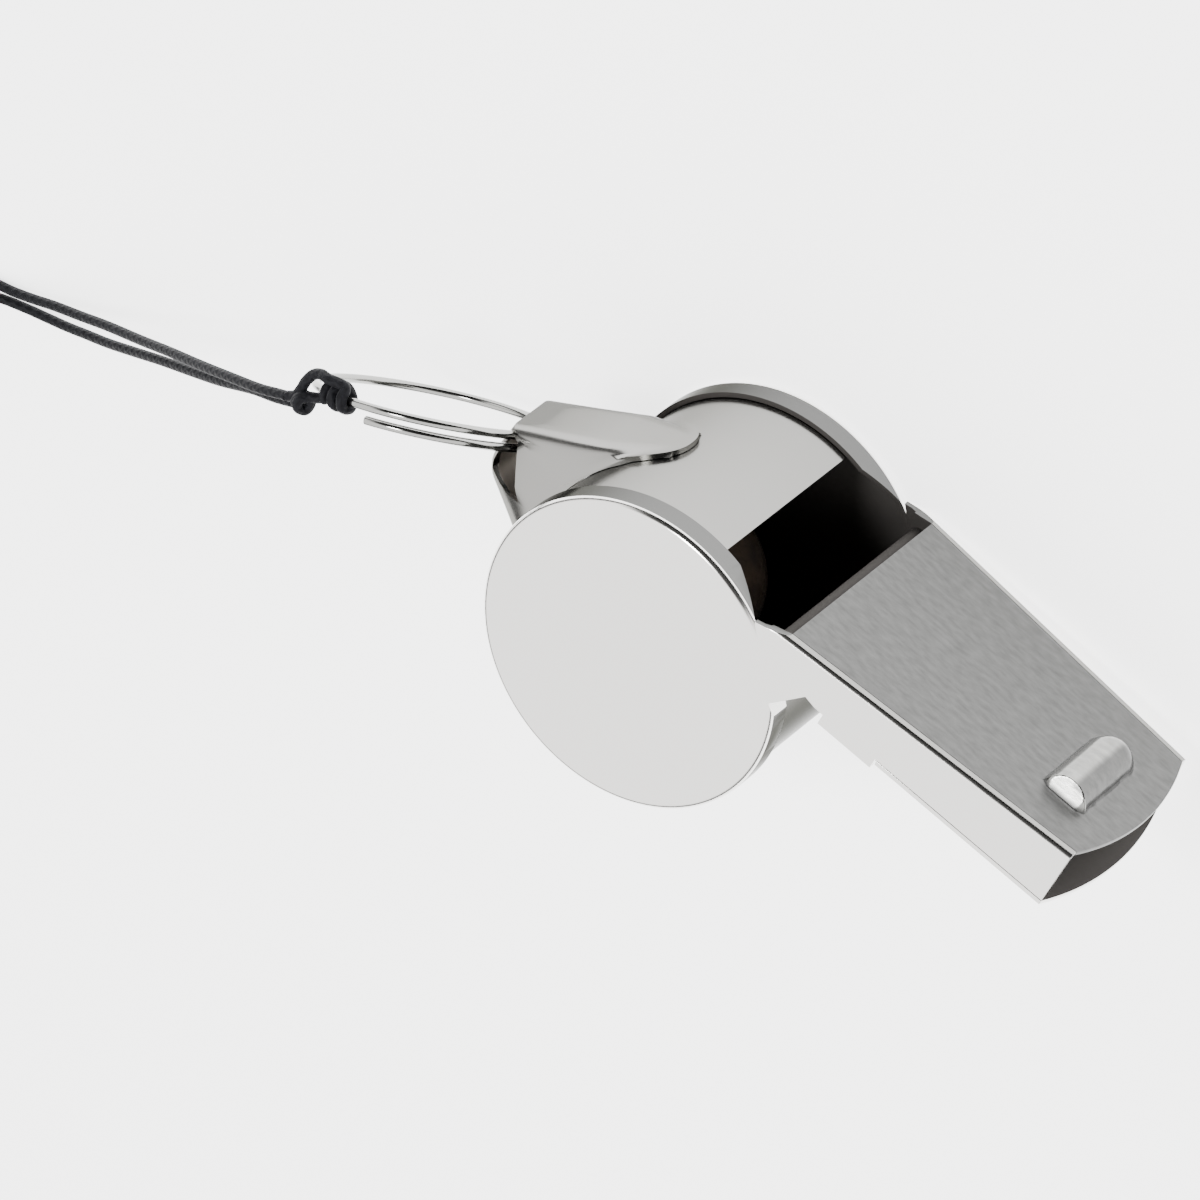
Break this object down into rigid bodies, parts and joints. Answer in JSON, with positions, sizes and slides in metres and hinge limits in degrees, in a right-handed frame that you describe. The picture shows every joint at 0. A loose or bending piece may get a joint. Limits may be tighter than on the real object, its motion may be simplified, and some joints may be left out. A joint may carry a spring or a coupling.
{
  "type": "pea whistle",
  "caption": "Stamped steel pea whistle with a loose cork ball, a split ring in a rear lug and a doubled black lanyard cord.",
  "frame": {"origin": "on the barrel's axis, on the flat outer face of the right cheek that the whistle rests on", "axes": "+X to the mouth, +Y to the window, +Z across the width, away from the resting face"},
  "size_m": [0.1079, 0.0531, 0.0183],
  "materials": {
    "polished_steel": "nickel plated, polished",
    "satin_steel": "fine satin grain",
    "ring_steel": "bright plated wire",
    "cork": "natural cork",
    "cord": "black braid"
  },
  "bodies": {
    "whistle": {"right_cheek": "polished_steel", "left_cheek": "polished_steel", "barrel_strip": "polished_steel", "mouthpiece_top": "satin_steel", "windway_floor": "polished_steel", "ring_lug": "polished_steel"},
    "pea": {"cork_pea": "cork"},
    "ring": {"split_ring": "ring_steel", "lanyard_knot": "cord", "lanyard_strand_a": "cord", "lanyard_strand_b": "cord", "lanyard_coil": "cord"}
  },
  "joints": [
    {"name": "pea_roll", "type": "hinge", "parent": "whistle", "child": "pea", "pos_m": [0, 0, 0.0066], "axis": [0, 0, 1], "continuous": true},
    {"name": "ring_swing", "type": "hinge", "parent": "whistle", "child": "ring", "pos_m": [-0.0155, 0.0008, 0.00915], "axis": [0, 0, 1], "range_deg": [-10, 30]}
  ]
}
